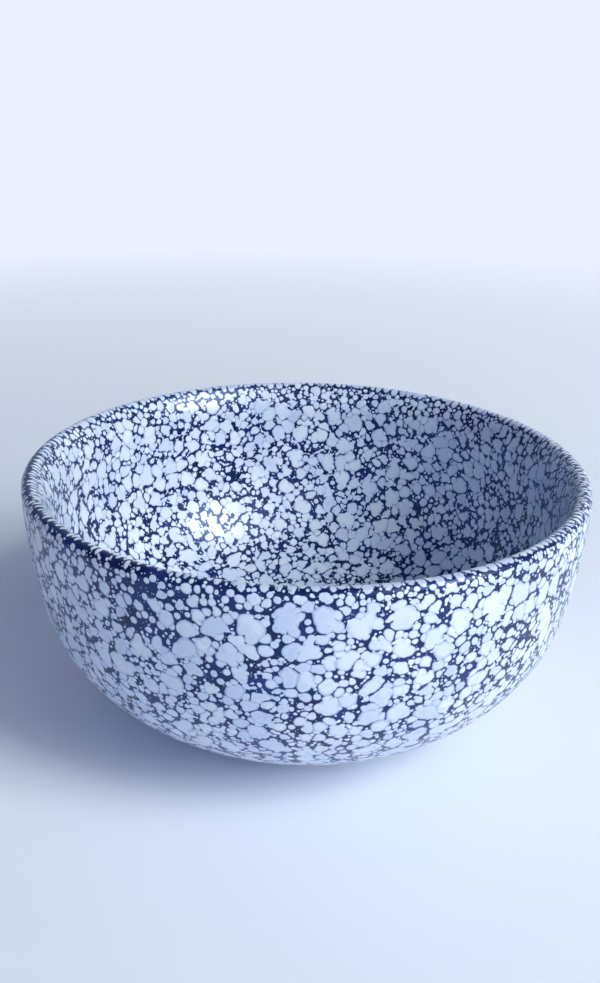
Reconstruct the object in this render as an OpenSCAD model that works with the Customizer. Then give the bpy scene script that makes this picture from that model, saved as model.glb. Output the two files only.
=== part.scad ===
// Round snack bowl of glazed stoneware, standing on a foot ring.
// The wall is one smooth curve of three arcs that run into each other: a long arc for the upright side,
// a tight arc where the side turns under, and a shallow arc for the floor. The round lip is narrower than
// the wall, and a soft arc eases it into the inside face. One fired clay body carries three coats of glaze:
// one outside, one inside, and one in the well that the foot ring encloses.
// The origin is on the table, under the middle of the bowl, with +Z up.

/* [Bowl] */
// Outside width across the upright side
rim_d = 152; // [130:1:190]
// Overall height from the table to the top of the lip
height = 72; // [64:1:84]
// Thickness of the finished wall and floor, with the glaze on both faces
wall = 6.8; // [6:0.1:8.4]
// Width of the round lip, with the glaze on both faces
lip_w = 4.2; // [3.4:0.1:5]
// Radius of the soft arc that eases the lip into the inside face of the wall
lip_ease_r = 17; // [12:1:26]
// Radius of the long arc of the upright side
side_r = 150; // [110:5:300]
// Radius of the arc that turns the side under
turn_r = 45; // [36:1:52]
// Radius of the shallow arc of the floor
floor_r = 400; // [250:10:900]

/* [Foot ring] */
// Outside width of the foot ring
foot_d = 58; // [46:1:76]
// Thickness of the foot ring
foot_w = 5; // [4:0.5:9]
// Clearance between the table and the middle of the floor
foot_h = 3; // [2.5:0.5:6]
// Rounding of the two edges that the ring stands on
foot_edge_r = 1; // [0.4:0.1:1.6]
// Fillet between the ring and the underside of the bowl, on both faces of the ring
foot_fillet_r = 1.5; // [0.6:0.1:1.9]

/* [Glaze] */
// Thickness of each coat of glaze
glaze = 0.4; // [0.2:0.1:0.8]
// Width of bare clay that is left between the foot ring's fillets and the glaze
bare_band = 1; // [0.5:0.5:4]

/* [Hidden] */
$fn = 240;

clay_color = "#c9b498";
outside_color = "#a3b2d0";
inside_color = "#8f9fc4";
well_color = "#2a3557";

// Discs that round off a corner are larger than their arc by this much, so that they cross the faces
// next to them cleanly instead of only touching them
hair = 0.001;

// Radius and centre of the lip. The side is upright where it meets it.
lip_r = lip_w / 2;
lip_c = [rim_d / 2 - lip_r, height - lip_r];

// Centres of the wall's three arcs. The turn touches both of the others from inside, so its centre is as
// far from each of theirs as the two radii differ.
side_c = [rim_d / 2 - side_r, lip_c.y];
floor_c = [0, foot_h + floor_r];
turn_c = right_crossing(side_c, side_r - turn_r, floor_c, floor_r - turn_r);

// Centre of the easing arc, which encloses the lip's circle and touches the side's inside face
ease_c = right_crossing(side_c, side_r - wall + lip_ease_r, lip_c, lip_ease_r - lip_r);

// The five arcs of the section as discs: centre and radius
side_disc = [side_c, side_r];
floor_disc = [floor_c, floor_r];
turn_disc = [turn_c, turn_r];
lip_disc = [lip_c, lip_r];
ease_disc = [ease_c, lip_ease_r + hair];

// Faces of the foot ring, and the height inside the floor's clay that it is carried up to
foot_out = foot_d / 2;
foot_in = foot_out - foot_w;
foot_top = under_height(foot_out, wall / 2);

// Radii at which the glaze stops on either side of the foot ring
outside_end = foot_out + foot_fillet_r + bare_band;
well_end = foot_in - foot_fillet_r - bare_band;

// Point at distance ra from a and rb from b, on the right of the way from a to b
function right_crossing(a, ra, b, rb) =
    let (span = norm(b - a),
         along = (ra * ra - rb * rb + span * span) / (2 * span),
         aside = sqrt(ra * ra - along * along),
         ahead = (b - a) / span)
    a + along * ahead + aside * [ahead.y, -ahead.x];

// Direction from one point to another, in degrees
function direction(from, to) = atan2(to.y - from.y, to.x - from.x);

// Point at a distance from a centre in a direction
function polar(centre, distance, angle) = centre + distance * [cos(angle), sin(angle)];

// Disc whose arc makes the underside at radius x, at a depth below the surface
function under_arc(x, depth) =
    x < polar(floor_c, floor_r - depth, direction(floor_c, turn_c)).x ? floor_disc : turn_disc;

// Height of the underside at radius x, at a depth below the surface
function under_height(x, depth) =
    let (arc = under_arc(x, depth))
    arc[0].y - sqrt(pow(arc[1] - depth, 2) - pow(x - arc[0].x, 2));

// Overlap of two discs at a depth below their edges, with one of its sharp corners rounded off by a third
// disc that touches both from inside
module rounded_overlap(first, second, corner, depth) {
    start = direction(first[0], corner[0]);
    end = direction(second[0], corner[0]);
    far_points = [for (angle = [start, (start + end) / 2, end]) polar(corner[0], 6 * corner[1], angle)];
    difference() {
        intersection() {
            translate(first[0]) circle(first[1] - depth);
            translate(second[0]) circle(second[1] - depth);
        }
        difference() {
            polygon(concat([corner[0]], far_points));
            translate(corner[0]) circle(corner[1] - depth + 2 * hair);
        }
    }
}

// Half section of everything inside the surface that lies at a depth below the bowl's outside
module inside_of(depth) {
    intersection() {
        rounded_overlap(side_disc, floor_disc, turn_disc, depth);
        square([rim_d / 2, lip_c.y]);
    }
}

// Half section of the layer between two depths, from the lip's centre to the axis
module layer(near, far) {
    difference() {
        inside_of(near);
        inside_of(far);
    }
}

// Upper half of a disc on the lip's centre
module lip_half(radius) {
    intersection() {
        translate(lip_c) circle(radius);
        translate(lip_c - [radius, 0]) square([2 * radius, radius]);
    }
}

// Coat over the outer half of the lip
module outer_lip_coat() {
    intersection() {
        difference() {
            lip_half(lip_r);
            lip_half(lip_r - glaze);
        }
        translate(lip_c) square(lip_r);
    }
}

// Half section of the open space beside the inner half of the lip and the easing arc, grown by a depth into
// them. It starts at the line on which the easing arc runs into the side's inside face.
module mouth(depth) {
    ease_line_dir = direction(side_c, ease_c);
    ease_line_start = polar(side_c, side_r - 3 * wall, ease_line_dir);
    ease_line_end = polar(side_c, side_r - wall / 2, ease_line_dir);
    above = height + lip_w;
    difference() {
        polygon([ease_line_start, ease_line_end, lip_c, [lip_c.x, above], [ease_line_start.x, above]]);
        rounded_overlap(ease_disc, side_disc, lip_disc, depth);
    }
}

// Half section of the bowl's whole hollow, grown by a depth into the wall and the floor
module hollow(depth) {
    rounded_overlap(side_disc, floor_disc, turn_disc, wall - depth);
    mouth(depth);
}

// Part of a half section between two radii
module between(first_x, last_x) {
    intersection() {
        children();
        translate([first_x, 0]) square([last_x - first_x, height]);
    }
}

// Quarter disc that rounds one edge of the foot ring; side is -1 for the inner edge and 1 for the outer
module foot_edge(face_x, side) {
    centre = [face_x - side * foot_edge_r, foot_edge_r];
    intersection() {
        translate(centre) circle(foot_edge_r);
        translate([min(centre.x, face_x), 0]) square(foot_edge_r);
    }
}

// Fillet from one face of the foot ring to the clay of the underside, with side as in foot_edge.
// It reaches into the clay of the ring and the floor, and its outer face is cut by a disc.
module foot_fillet(face_x, side) {
    centre_x = face_x + side * foot_fillet_r;
    centre_depth = glaze - foot_fillet_r;
    centre = [centre_x, under_height(centre_x, centre_depth)];
    arc = under_arc(centre_x, centre_depth);
    floor_seat = polar(arc[0], arc[1] - wall / 2, direction(arc[0], centre));
    ring_middle = face_x - side * foot_w / 2;
    corners = [centre, floor_seat, [ring_middle, foot_top], [ring_middle, centre.y]];
    anticlockwise = side > 0 ? [0, 1, 2, 3] : [3, 2, 1, 0];
    difference() {
        polygon(corners, [anticlockwise]);
        translate(centre) circle(foot_fillet_r + hair);
    }
}

// Half section of the foot ring, from the table up into the clay of the floor
module foot_section() {
    translate([foot_in, foot_edge_r]) square([foot_w, foot_top - foot_edge_r]);
    translate([foot_in + foot_edge_r, 0]) square([foot_w - 2 * foot_edge_r, foot_edge_r]);
    foot_edge(foot_in, -1);
    foot_edge(foot_out, 1);
    foot_fillet(foot_in, -1);
    foot_fillet(foot_out, 1);
}

// Fired stoneware body: wall, floor and foot ring in one piece
module clay_body() {
    color(clay_color) rotate_extrude() {
        difference() {
            union() {
                inside_of(glaze);
                lip_half(lip_r - glaze);
                translate(lip_c - [lip_w, lip_r]) square([lip_w, lip_w - glaze]);
            }
            hollow(glaze);
        }
        foot_section();
    }
}

// Glaze over the outside, from the crest of the lip down to the bare band round the foot ring
module outside_glaze() {
    color(outside_color) rotate_extrude() {
        between(outside_end, rim_d / 2) layer(0, glaze);
        outer_lip_coat();
    }
}

// Glaze over the inside, from the crest of the lip down to the middle of the floor
module inside_glaze() {
    color(inside_color) rotate_extrude()
        between(0, lip_c.x)
            difference() {
                hollow(glaze);
                hollow(0);
            }
}

// Glaze over the underside of the floor, inside the foot ring
module foot_well_glaze() {
    color(well_color) rotate_extrude()
        between(0, well_end) layer(0, glaze);
}

clay_body();
outside_glaze();
inside_glaze();
foot_well_glaze();
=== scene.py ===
# %% [markdown]
# # A snack bowl in spatter glaze
# The real bowl is one lump of fired stoneware under a dark blue glaze. Before firing, a pale glaze was
# spattered over the blue, and in the kiln its drops sank into low, rounded domes that touch, run together
# and leave thin dark veins. This lesson loads the CAD bowl as a fixed frame, lays the coats of glaze on it
# and throws thousands of drops over it, so that the pattern is real geometry and not a picture.

import bpy
import numpy as np
from mathutils import Matrix, Vector, kdtree


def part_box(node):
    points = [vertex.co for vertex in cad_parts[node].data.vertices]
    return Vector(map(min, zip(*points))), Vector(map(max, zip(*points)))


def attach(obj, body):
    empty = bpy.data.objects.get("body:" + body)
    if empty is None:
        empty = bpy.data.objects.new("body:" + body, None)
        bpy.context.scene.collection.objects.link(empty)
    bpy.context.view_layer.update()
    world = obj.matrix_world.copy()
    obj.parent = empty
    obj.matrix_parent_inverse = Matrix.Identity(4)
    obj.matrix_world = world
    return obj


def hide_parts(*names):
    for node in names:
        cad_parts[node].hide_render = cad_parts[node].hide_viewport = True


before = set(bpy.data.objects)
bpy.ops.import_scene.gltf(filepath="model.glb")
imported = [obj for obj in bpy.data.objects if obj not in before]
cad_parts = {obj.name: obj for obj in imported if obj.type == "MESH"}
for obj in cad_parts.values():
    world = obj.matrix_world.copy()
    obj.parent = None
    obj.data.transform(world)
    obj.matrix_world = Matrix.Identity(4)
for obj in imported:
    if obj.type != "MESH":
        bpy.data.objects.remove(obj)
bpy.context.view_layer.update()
print("CAD nodes:", sorted(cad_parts))

# %% [markdown]
# The wall's section is one smooth line of arcs: the round lip, the long upright side, the turn under the
# belly and the shallow floor, and on the inside a soft arc that eases the lip into the wall. The sizes below
# are those of the CAD part, so every coat and drop can be placed on the exact surface by a formula.
# Shrinkwrapping onto the CAD mesh would be another way, but then its facets would print through the glaze.

# %% Section of the wall
MM = 0.001
RIM_R = 76.0 * MM
HEIGHT = 72.0 * MM
WALL = 6.8 * MM
LIP_R = 2.1 * MM
EASE_R = 17.0 * MM
SIDE_R = 150.0 * MM
TURN_R = 45.0 * MM
FLOOR_R = 400.0 * MM
FOOT_CLEARANCE = 3.0 * MM
GLAZE = 0.4 * MM


def right_crossing(first, first_r, second, second_r):
    """Point at one distance from each of two centres: along the line between them, then square to it."""
    span = np.linalg.norm(second - first)
    ahead = (second - first) / span
    along = (first_r**2 - second_r**2 + span**2) / (2 * span)
    aside = np.sqrt(first_r**2 - along**2)
    return first + along * ahead + aside * np.array((ahead[1], -ahead[0]))


def direction(start, end):
    """Angle of the line from one point of the section to another."""
    return np.arctan2(end[1] - start[1], end[0] - start[0])


LIP_C = np.array((RIM_R - LIP_R, HEIGHT - LIP_R))
SIDE_C = np.array((RIM_R - SIDE_R, LIP_C[1]))
FLOOR_C = np.array((0.0, FOOT_CLEARANCE + FLOOR_R))
TURN_C = right_crossing(SIDE_C, SIDE_R - TURN_R, FLOOR_C, FLOOR_R - TURN_R)
EASE_C = right_crossing(SIDE_C, SIDE_R - WALL + EASE_R, LIP_C, EASE_R - LIP_R)
TURN_START, TURN_END = direction(SIDE_C, TURN_C), direction(FLOOR_C, TURN_C)
EASE_START, EASE_END = direction(EASE_C, LIP_C), direction(EASE_C, SIDE_C)
SIDE_START = direction(SIDE_C, EASE_C)
lip_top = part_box("outside_glaze")[1]
print(f"rim {lip_top.x / MM:.2f} mm and lip {lip_top.z / MM:.2f} mm in the CAD part,",
      f"{RIM_R / MM:.2f} and {HEIGHT / MM:.2f} mm here")

# %% [markdown]
# Two functions carry everything that follows. The first walks along a face of the wall, from the crest of
# the lip to the axis, and says where it is and which way the surface looks. A face is a short table of arcs,
# so the walk only has to find the arc and the angle on it.

# %% Walking along the wall
OUTSIDE = 1
INSIDE = -1


def wall_arcs(facing):
    """Centres, radii, first and last directions of a face's arcs, from the lip's crest to the axis.

    The last array is 1 where the face looks away from the arc's centre, and -1 where it looks towards it.
    """
    if facing == OUTSIDE:
        centres = (LIP_C, SIDE_C, TURN_C, FLOOR_C)
        radii = (LIP_R, SIDE_R, TURN_R, FLOOR_R)
        firsts = (np.pi / 2, 0.0, TURN_START, TURN_END)
        lasts = (0.0, TURN_START, TURN_END, -np.pi / 2)
        looks = (1, 1, 1, 1)
    else:
        centres = (LIP_C, EASE_C, SIDE_C, TURN_C, FLOOR_C)
        radii = (LIP_R, EASE_R, SIDE_R - WALL, TURN_R - WALL, FLOOR_R - WALL)
        firsts = (np.pi / 2, EASE_START, SIDE_START, TURN_START, TURN_END)
        lasts = (EASE_START, EASE_END, TURN_START, TURN_END, -np.pi / 2)
        looks = (1, 1, -1, -1, -1)
    return [np.array(part) for part in (centres, radii, firsts, lasts, looks)]


def arc_ends(facing):
    """Distances from the lip's crest, along a face, at which its arcs end."""
    _, radii, firsts, lasts, _ = wall_arcs(facing)
    return np.cumsum(radii * np.abs(lasts - firsts))


def walk(facing, lengths):
    """Section point and outward normal at distances from the lip's crest along a face.

    Each distance is turned into an angle on the arc that it falls on: the arc's first direction plus
    the distance along it over its radius. The normal is that direction, or its reverse.
    """
    centres, radii, firsts, lasts, looks = wall_arcs(facing)
    ends = arc_ends(facing)
    begins = np.concatenate(([0.0], ends[:-1]))
    arc = np.clip(np.searchsorted(ends, lengths), 0, len(ends) - 1)
    angle = firsts[arc] + np.sign(lasts - firsts)[arc] * (lengths - begins[arc]) / radii[arc]
    ray = np.stack((np.cos(angle), np.sin(angle)), -1)
    return centres[arc] + radii[arc][..., None] * ray, ray * looks[arc][..., None]


def spin(section, turn):
    """Points of the half section carried round the axis: radius times cosine and sine of the turn."""
    return np.stack((section[..., 0] * np.cos(turn), section[..., 0] * np.sin(turn),
                     section[..., 1] + 0 * turn), -1)


print("outside face", round(arc_ends(OUTSIDE)[-1] / MM, 1), "mm and inside face",
      round(arc_ends(INSIDE)[-1] / MM, 1), "mm from crest to axis")

# %% [markdown]
# The second function takes loose points near the wall and settles them onto it, like a drop that lands and
# clings: it finds the arc that a point belongs to and moves the point along that arc's radius. A third gives
# the two directions in which a drop can spread on the face.

# %% Settling onto the wall
LEAST_RADIUS = 1e-9
SAMPLES = 200


def nearest_arc(points, facing):
    """Section points, the number of the arc that each belongs to, and its unit ray from that arc's centre.

    The lip's height, or the direction from the easing arc's centre, and the direction from the turn's
    centre say which arc it is.
    """
    section = np.stack((np.hypot(points[..., 0], points[..., 1]), points[..., 2]), -1)
    from_turn = np.arctan2(section[..., 1] - TURN_C[1], section[..., 0] - TURN_C[0])
    from_ease = np.arctan2(section[..., 1] - EASE_C[1], section[..., 0] - EASE_C[0]) % (2 * np.pi)
    if facing == OUTSIDE:
        tests = [section[..., 1] > LIP_C[1], from_turn > TURN_START, from_turn > TURN_END]
    else:
        tests = [from_ease < EASE_START, from_ease < EASE_END, from_turn > TURN_START, from_turn > TURN_END]
    arc = np.select(tests, range(len(tests)), len(tests))
    ray = section - wall_arcs(facing)[0][arc]
    return section, arc, ray / np.linalg.norm(ray, axis=-1, keepdims=True)


def settle(points, facing, lift):
    """Points moved onto a face of the wall and lifted off it.

    A point goes along its arc's radius, to that radius plus the lift, or minus it where the face looks
    towards the arc's centre.
    """
    section, arc, ray = nearest_arc(points, facing)
    centres, radii, _, _, looks = wall_arcs(facing)
    settled = centres[arc] + (radii[arc] + looks[arc] * lift)[..., None] * ray
    shrink = settled[..., 0] / np.maximum(section[..., 0], LEAST_RADIUS)
    return np.stack((points[..., 0] * shrink, points[..., 1] * shrink, settled[..., 1]), -1)


def tangents(points, facing):
    """Two directions on the face at each point: round the axis, and square to it and to the normal."""
    _, arc, ray = nearest_arc(points, facing)
    turn = np.arctan2(points[..., 1], points[..., 0])
    normal = spin(ray, turn) * wall_arcs(facing)[4][arc][..., None]
    across = np.stack((-np.sin(turn), np.cos(turn), 0 * turn), -1)
    return across, np.cross(normal, across)


sample_lengths = np.linspace(0.0, arc_ends(INSIDE)[-1], SAMPLES)
samples = spin(walk(INSIDE, sample_lengths)[0], np.linspace(0.0, 2 * np.pi, SAMPLES))
moved = np.linalg.norm(settle(samples, INSIDE, np.zeros(SAMPLES)) - samples, axis=-1).max()
print(f"points that already lie on the inside face move by {moved / MM:.6f} mm at most")

# %% [markdown]
# Every new piece is arrays of corners and triangles. foreach_set hands a whole array to Blender in one
# call, which is far quicker than a loop, and edges where two faces meet sharply keep a crisp line while
# the rest is shaded smooth. The piece then rides on the bowl's only body.

# %% From arrays to a piece
SHARP_ANGLE = np.radians(60)


def add_piece(name, corners, triangles, material, uv=None):
    """Mesh object from an array of points and an array of corner numbers, three to a triangle."""
    mesh = bpy.data.meshes.new(name)
    mesh.vertices.add(len(corners))
    mesh.loops.add(triangles.size)
    mesh.polygons.add(len(triangles))
    mesh.vertices.foreach_set("co", corners.astype(np.float32).ravel())
    mesh.loops.foreach_set("vertex_index", triangles.astype(np.int32).ravel())
    mesh.polygons.foreach_set("loop_start", np.arange(0, triangles.size, 3, dtype=np.int32))
    mesh.polygons.foreach_set("use_smooth", np.ones(len(triangles), bool))
    mesh.update(calc_edges=True)
    mesh.validate()
    mesh.set_sharp_from_angle(angle=SHARP_ANGLE)
    if uv is not None:
        layer = mesh.uv_layers.new(name="OFBake")
        layer.data.foreach_set("uv", uv[triangles.ravel()].astype(np.float32).ravel())
    mesh.materials.append(material)
    piece = bpy.data.objects.new(name, mesh)
    bpy.context.scene.collection.objects.link(piece)
    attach(piece, "root")
    print(f"{name}: {len(triangles)} triangles")
    return piece


print("edges stay sharp from", round(np.degrees(SHARP_ANGLE)), "degrees")

# %% [markdown]
# A material is a small graph of nodes. Each helper below makes one node and joins it by the names or types
# of its sockets, so that a finish further down reads like a recipe: noise, a ramp of colours, a range of
# roughness and a little bump.

# %% Nodes for materials
def new_material(name):
    """Material with its node tree, its principled shader and the texture coordinates."""
    material = bpy.data.materials.new(name)
    material.use_nodes = True
    tree = material.node_tree
    coordinates = tree.nodes.new("ShaderNodeTexCoord")
    return material, tree, tree.nodes["Principled BSDF"], coordinates


def add_noise(tree, vector, scale, detail):
    """Noise texture on a vector, with its scale in cells to the metre."""
    node = tree.nodes.new("ShaderNodeTexNoise")
    node.inputs["Scale"].default_value = scale
    node.inputs["Detail"].default_value = detail
    tree.links.new(vector, node.inputs["Vector"])
    return node.outputs["Fac"]


def add_ramp(tree, value, stops):
    """Colour ramp over a value, from pairs of position and linear colour."""
    node = tree.nodes.new("ShaderNodeValToRGB")
    elements = node.color_ramp.elements
    while len(elements) < len(stops):
        elements.new(0.5)
    for element, (position, color) in zip(elements, stops):
        element.position = position
        element.color = (*color, 1.0)
    tree.links.new(value, node.inputs["Fac"])
    return node.outputs["Color"]


def add_range(tree, value, start, end):
    """Value from 0 to 1 spread over the range from start to end."""
    node = tree.nodes.new("ShaderNodeMapRange")
    node.inputs["To Min"].default_value = start
    node.inputs["To Max"].default_value = end
    tree.links.new(value, node.inputs["Value"])
    return node.outputs["Result"]


def add_mix(tree, factor, first, second):
    """Colour that goes from the first to the second as the factor goes from 0 to 1."""
    node = tree.nodes.new("ShaderNodeMix")
    node.data_type = "RGBA"
    colors = [socket for socket in node.inputs if socket.type == "RGBA"]
    tree.links.new(factor, node.inputs["Factor"])
    tree.links.new(first, colors[0])
    tree.links.new(second, colors[1])
    return [socket for socket in node.outputs if socket.type == "RGBA"][0]


def add_bump(tree, shader, height, distance):
    """Bump of a height of 0 to 1 times a distance in metres, on the shader's normal."""
    node = tree.nodes.new("ShaderNodeBump")
    node.inputs["Distance"].default_value = distance
    tree.links.new(height, node.inputs["Height"])
    tree.links.new(node.outputs["Normal"], shader.inputs["Normal"])


print("helpers:", [helper.__name__ for helper in (add_noise, add_ramp, add_range, add_mix, add_bump)])

# %% [markdown]
# The dark blue glaze pools a little deeper in some places than in others, so slow noise shifts it between
# navy and a lighter blue, and fine noise gives the soft orange-peel skin of a satin glaze. Its sheen is
# tinted blue, as it looks in the photograph. All of it reads Object coordinates, which stay put on the bowl.

# %% Dark blue glaze
NAVY_DEEP = (0.002, 0.007, 0.050)
NAVY = (0.004, 0.015, 0.095)
NAVY_THIN = (0.015, 0.034, 0.170)
NAVY_SHEEN = (0.40, 0.55, 1.0)
GLAZE_SPECULAR = 0.65


def make_navy_glaze():
    """Navy shifted by slow noise, with roughness from finer noise and an orange-peel bump."""
    material, tree, shader, coordinates = new_material("dark blue glaze")
    place = coordinates.outputs["Object"]
    pooling = add_noise(tree, place, scale=180.0, detail=4.0)
    color = add_ramp(tree, pooling, [(0.30, NAVY_DEEP), (0.52, NAVY), (0.75, NAVY_THIN)])
    tree.links.new(color, shader.inputs["Base Color"])
    roughness = add_range(tree, add_noise(tree, place, scale=420.0, detail=2.0), start=0.26, end=0.36)
    tree.links.new(roughness, shader.inputs["Roughness"])
    shader.inputs["Specular IOR Level"].default_value = GLAZE_SPECULAR
    shader.inputs["Specular Tint"].default_value = (*NAVY_SHEEN, 1.0)
    add_bump(tree, shader, add_noise(tree, place, scale=700.0, detail=3.0), distance=0.02 * MM)
    return material


navy_glaze = make_navy_glaze()
print("made", navy_glaze.name)

# %% [markdown]
# Where the foot was wiped clean, the glaze ends in a slightly wavy line, a little thicker just before it
# stops, because melted glaze creeps and beads at its edge. A revolved profile alone would end in a perfect
# circle, so the edge gets a wander and a thickness of its own.

# %% Wiped edges
EDGE_BEAD = 0.07 * MM
BEAD_INSET = 0.9 * MM
BEAD_WIDTH = 0.5 * MM
# Each wave has its number of periods round the foot, its phase and its height
EDGE_WAVES = ((3, 0.7, 0.11 * MM), (7, 2.1, 0.066 * MM), (12, 0.0, 0.044 * MM))


def edge_wave(turn):
    """Wander of a wiped edge: three slow sine waves of the turn added up."""
    return sum(height * np.sin(periods * turn + phase) for periods, phase, height in EDGE_WAVES)


def edge_thickness(inset):
    """Thickness of a coat at a distance from its edge: a quarter round up to full, plus a low bead."""
    rise = np.clip(inset / GLAZE, 0.0, 1.0)
    bead = EDGE_BEAD * np.exp(-(((inset - BEAD_INSET) / BEAD_WIDTH) ** 2))
    return GLAZE * np.sqrt(1 - (1 - rise) ** 2) + bead * rise


print("bead", round(edge_thickness(np.array(BEAD_INSET)) / MM, 3), "mm thick near the edge")

# %% [markdown]
# A coat of glaze is a thin shell: its front is the face that shows, and its back lies on the clay. Each
# shell is worked out on a grid of rows along the section and columns round the axis. A Solidify modifier
# would be quicker, but the coat has to thin out at its wiped edge and lie flush with the clay's own shape.

# %% Shells of glaze
COLUMNS = 320
TURNS = np.linspace(0.0, 2 * np.pi, COLUMNS, endpoint=False)
LIP_ROW_STEP = 0.25 * MM
UPPER_ROW_STEP = 0.8 * MM
UPPER_REACH = 10 * MM
LOWER_ROWS = 84
BACK_STEP = 4
AXIS_RADIUS = 1e-7


def close_rows(rows):
    """Corners and triangles of a closed loop of rows: rows on the axis shrink to one corner each."""
    columns = rows.shape[1]
    on_axis = np.hypot(rows[:, 0, 0], rows[:, 0, 1]) < AXIS_RADIUS
    numbers = np.where(on_axis, 1, columns)
    starts = np.concatenate(([0], np.cumsum(numbers)[:-1]))
    index = starts[:, None] + np.where(on_axis[:, None], 0, np.arange(columns)[None, :])
    corners = np.concatenate([row[:1] if axis else row for row, axis in zip(rows, on_axis)])
    below = np.roll(index, -1, axis=0)
    beside = np.roll(index, -1, axis=1)
    across = np.roll(below, -1, axis=1)
    triangles = np.concatenate((np.stack((index, below, across), -1).reshape(-1, 3),
                                np.stack((index, across, beside), -1).reshape(-1, 3)))
    first, second, third = triangles.T
    whole = (first != second) & (second != third) & (third != first)
    return corners, triangles[whole]


def shell_rows(facing, lengths, thickness):
    """Loop of rows round a coat's section: its front from first length to last, then its back to the start.

    A front point is the face's point at its length, sunk along the normal by what the coat there lacks
    of its full thickness, and a back point is sunk by the full thickness, onto the clay. The hidden back
    keeps only some of the rows, and none where the coat has thinned out to nothing.
    """
    turn = TURNS[None, :] + 0 * lengths
    section, normal = walk(facing, lengths)
    front = spin(section + (thickness - GLAZE)[..., None] * normal, turn)
    thick = np.flatnonzero(thickness[:, 0] > 0)
    kept = np.union1d(thick[::BACK_STEP], thick[-1:])
    back = spin(section - GLAZE * normal, turn)[kept]
    return np.concatenate((front, back[::-1]))


def row_lengths(facing, last):
    """Distances along a face, closest together on the tight lip and close on the soft arc under it."""
    lip_end = arc_ends(facing)[0]
    upper_end = lip_end + UPPER_REACH
    lip = np.arange(0.0, lip_end, LIP_ROW_STEP)
    upper = np.arange(lip_end, upper_end, UPPER_ROW_STEP)
    return np.concatenate((lip, upper, np.linspace(upper_end, last, LOWER_ROWS)))


def add_coat(name, facing, lengths, thickness, node):
    """Coat of dark blue glaze that stands for a CAD node."""
    corners, triangles = close_rows(shell_rows(facing, lengths, thickness))
    if facing == INSIDE:
        triangles = triangles[:, ::-1]
    piece = add_piece(name, corners, triangles, navy_glaze)
    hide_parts(node)


print("a coat's columns are", round(2 * np.pi * RIM_R / COLUMNS / MM, 2), "mm wide at the rim")

# %% [markdown]
# The outside coat runs from the crest of the lip to the line wiped round the foot, and the inside coat
# from the crest to the middle of the floor. The third, small coat lies in the well that the foot ring
# encloses, where the bowl was dipped but not spattered.

# %% Outside, inside and well coats
OUTSIDE_END_R = 31.5 * MM
WELL_END_R = 21.5 * MM
EDGE_REACH = 2 * MM
EDGE_ROWS = 16
WELL_ROWS = 32
WELL_CROWDING = 1.6
WELL_WAVE_TURN = 1.0
WALK_STEPS = 4000


def length_at_radius(facing, radius):
    """Distance from the lip's crest at which the underside reaches a radius, read off a fine walk."""
    lengths = np.linspace(arc_ends(facing)[1], arc_ends(facing)[-1], WALK_STEPS)
    radii = walk(facing, lengths)[0][:, 0]
    return np.interp(-radius, -radii, lengths)


# Rows crowd together towards a wiped edge, where the coat thins out
outside_last = length_at_radius(OUTSIDE, OUTSIDE_END_R)
upper_share = row_lengths(OUTSIDE, outside_last - EDGE_REACH) / outside_last
edge_share = 1 - (1 - upper_share[-1]) * np.linspace(1, 0, EDGE_ROWS)[1:] ** 2
outside_share = np.concatenate((upper_share, edge_share))
outside_lengths = outside_share[:, None] * (outside_last + edge_wave(TURNS))[None, :]
outside_inset = outside_lengths[-1:] - outside_lengths
add_coat("outside_coat", OUTSIDE, outside_lengths, edge_thickness(outside_inset),
         "outside_glaze")

inside_last = arc_ends(INSIDE)[-1]
inside_lengths = row_lengths(INSIDE, inside_last)[:, None] + 0 * TURNS[None, :]
add_coat("inside_coat", INSIDE, inside_lengths, np.full(inside_lengths.shape, GLAZE),
         "inside_glaze")

axis_length = arc_ends(OUTSIDE)[-1]
well_edge = length_at_radius(OUTSIDE, WELL_END_R) + edge_wave(TURNS + WELL_WAVE_TURN)
well_share = np.linspace(0, 1, WELL_ROWS)[:, None] ** WELL_CROWDING
well_lengths = well_edge[None, :] + well_share * (axis_length - well_edge[None, :])
add_coat("well_coat", OUTSIDE, well_lengths, edge_thickness(well_lengths - well_edge[None, :]),
         "foot_well_glaze")

# %% [markdown]
# The clay itself shows only on the foot ring and in the narrow bare bands beside it. Its CAD shape is
# right, so the node stays and only gets a better finish: unglazed stoneware, buff, with darker grog
# specks and a dry, faintly gritty skin.

# %% Bare stoneware
CLAY_LIGHT = (0.56, 0.44, 0.31)
CLAY_DARK = (0.40, 0.29, 0.19)
CLAY_SPECK = (0.16, 0.10, 0.06)


def make_stoneware():
    """Buff clay mottled by noise, with a fine noise cut off high for the specks, and a gritty bump."""
    material, tree, shader, coordinates = new_material("bare stoneware")
    place = coordinates.outputs["Object"]
    clouds = add_noise(tree, place, scale=260.0, detail=5.0)
    mottle = add_ramp(tree, clouds, [(0.3, CLAY_DARK), (0.7, CLAY_LIGHT)])
    grog = add_noise(tree, place, scale=1500.0, detail=1.0)
    speck = add_ramp(tree, grog, [(0.66, CLAY_LIGHT), (0.72, CLAY_SPECK)])
    cut = add_ramp(tree, grog, [(0.66, (0, 0, 0)), (0.72, (1, 1, 1))])
    tree.links.new(add_mix(tree, cut, mottle, speck), shader.inputs["Base Color"])
    roughness = add_range(tree, add_noise(tree, place, scale=500.0, detail=3.0), start=0.72, end=0.95)
    tree.links.new(roughness, shader.inputs["Roughness"])
    add_bump(tree, shader, add_noise(tree, place, scale=1800.0, detail=4.0), distance=0.08 * MM)
    return material


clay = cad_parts["clay_body"]
clay.data.materials.clear()
clay.data.materials.append(make_stoneware())
print("clay body keeps its CAD shape,", len(clay.data.polygons), "faces")

# %% [markdown]
# Spatter is a crowd of drops of very different sizes. The largest came down close together and ran into
# one another, so they lie in families: a first drop with a few lobes round it, like a small cloud. Three
# kinds of families are thrown evenly over a face, from large ones with many lobes to small ones with few.

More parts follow.
